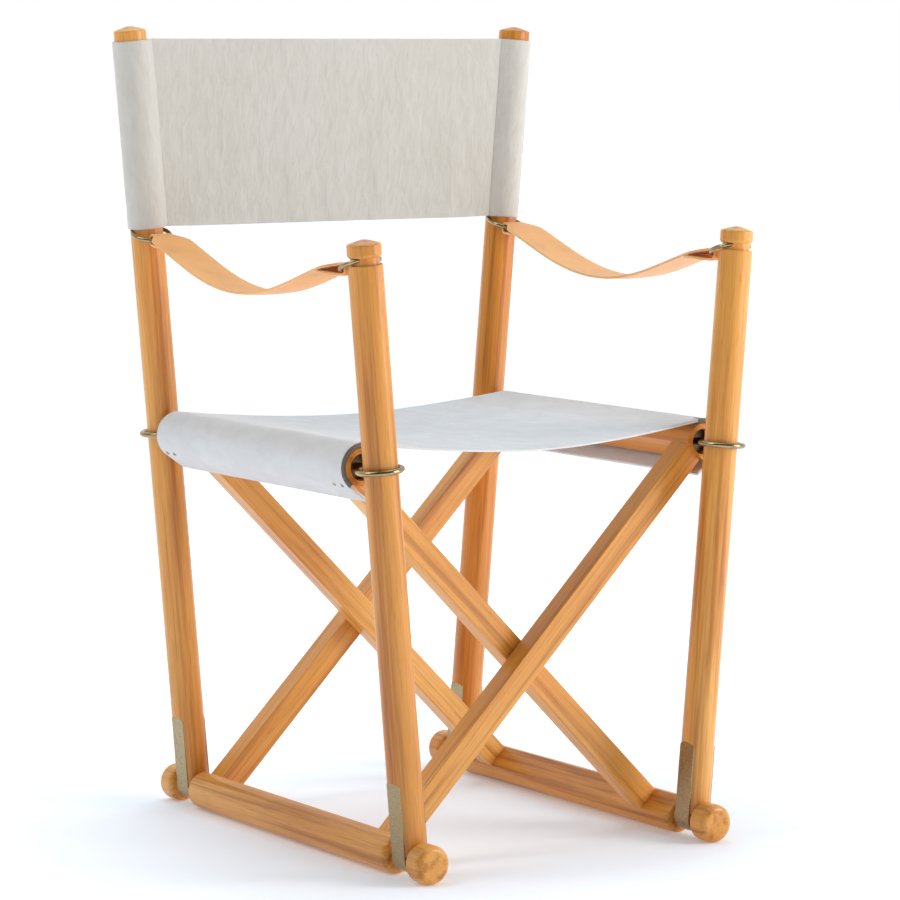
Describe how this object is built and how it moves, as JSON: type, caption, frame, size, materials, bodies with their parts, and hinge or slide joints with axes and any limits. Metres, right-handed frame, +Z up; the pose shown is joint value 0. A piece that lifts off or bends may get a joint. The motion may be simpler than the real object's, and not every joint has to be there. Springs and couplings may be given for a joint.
{
  "type": "folding chair",
  "caption": "Folding safari-style armchair: round wooden poles, crossed arms, canvas seat and back, leather armrest straps and metal rings.",
  "frame": {"origin": "on the floor, under the middle of the open chair", "axes": "+Z up, the chair's front faces -Y, +X is the right-hand side seen from the front"},
  "size_m": [0.5484, 0.535, 0.8701],
  "materials": {
    "wood": "satin varnished hardwood",
    "brass": "polished brass, slightly aged",
    "strap_brass": "dull, aged brass sheet",
    "steel": "plain steel",
    "seat_canvas": "heavy woven canvas",
    "back_canvas": "washed woven canvas",
    "leather": "natural vegetable tanned leather"
  },
  "bodies": {
    "left_poles": {"front_left_pole": "wood", "rear_left_pole": "wood", "front_left_foot_strap": "strap_brass", "rear_left_foot_strap": "strap_brass", "left_foot_strap_pins": "strap_brass", "left_armrest_rings": "brass", "left_armrest_strap": "leather", "left_back_sleeve": "back_canvas", "back_panel": "back_canvas"},
    "outer_frame": {"left_bottom_rail": "wood", "right_seat_rail": "wood", "front_outer_arm": "wood", "rear_outer_arm": "wood", "pivot_pins": "steel", "pivot_washers": "brass", "right_swivel_plates": "steel", "right_swivel_screws": "steel", "right_seat_wrap": "seat_canvas", "right_canvas_tacks": "brass", "seat_panel": "seat_canvas"},
    "inner_frame": {"right_bottom_rail": "wood", "left_seat_rail": "wood", "front_inner_arm": "wood", "rear_inner_arm": "wood", "left_swivel_plates": "steel", "left_swivel_screws": "steel", "left_seat_wrap": "seat_canvas", "left_canvas_tacks": "brass"},
    "right_poles": {"front_right_pole": "wood", "rear_right_pole": "wood", "front_right_foot_strap": "strap_brass", "rear_right_foot_strap": "strap_brass", "right_foot_strap_pins": "strap_brass", "right_armrest_rings": "brass", "right_armrest_strap": "leather", "right_back_sleeve": "back_canvas"},
    "left_seat_rings": {"left_seat_rings": "brass"},
    "right_seat_rings": {"right_seat_rings": "brass"}
  },
  "joints": [
    {"name": "fold", "type": "hinge", "parent": "left_poles", "child": "outer_frame", "pos_m": [-0.18185, 0, 0.02045], "axis": [0, -1, 0], "range_deg": [0, 40.8], "deforming": ["seat_panel", "back_panel", "left_armrest_strap", "right_armrest_strap"]},
    {"name": "arms_cross", "type": "hinge", "parent": "outer_frame", "child": "inner_frame", "pos_m": [0, 0, 0.20372], "axis": [0, 1, 0], "range_deg": [0, 73.01]},
    {"name": "right_poles_turn", "type": "hinge", "parent": "inner_frame", "child": "right_poles", "pos_m": [0.18185, 0, 0.02045], "axis": [0, -1, 0], "range_deg": [0, 40.8]},
    {"name": "left_rings_swivel", "type": "hinge", "parent": "inner_frame", "child": "left_seat_rings", "pos_m": [-0.21817, 0, 0.4236], "axis": [0, -1, 0], "range_deg": [0, 32.21]},
    {"name": "right_rings_swivel", "type": "hinge", "parent": "outer_frame", "child": "right_seat_rings", "pos_m": [0.21817, 0, 0.4236], "axis": [0, 1, 0], "range_deg": [0, 32.21]}
  ],
  "couplings": [
    {"joint": "arms_cross", "follows": "fold", "ratio": 1.7883},
    {"joint": "right_poles_turn", "follows": "fold", "ratio": 1},
    {"joint": "left_rings_swivel", "follows": "fold", "ratio": 0.78827},
    {"joint": "right_rings_swivel", "follows": "fold", "ratio": 0.78827}
  ]
}
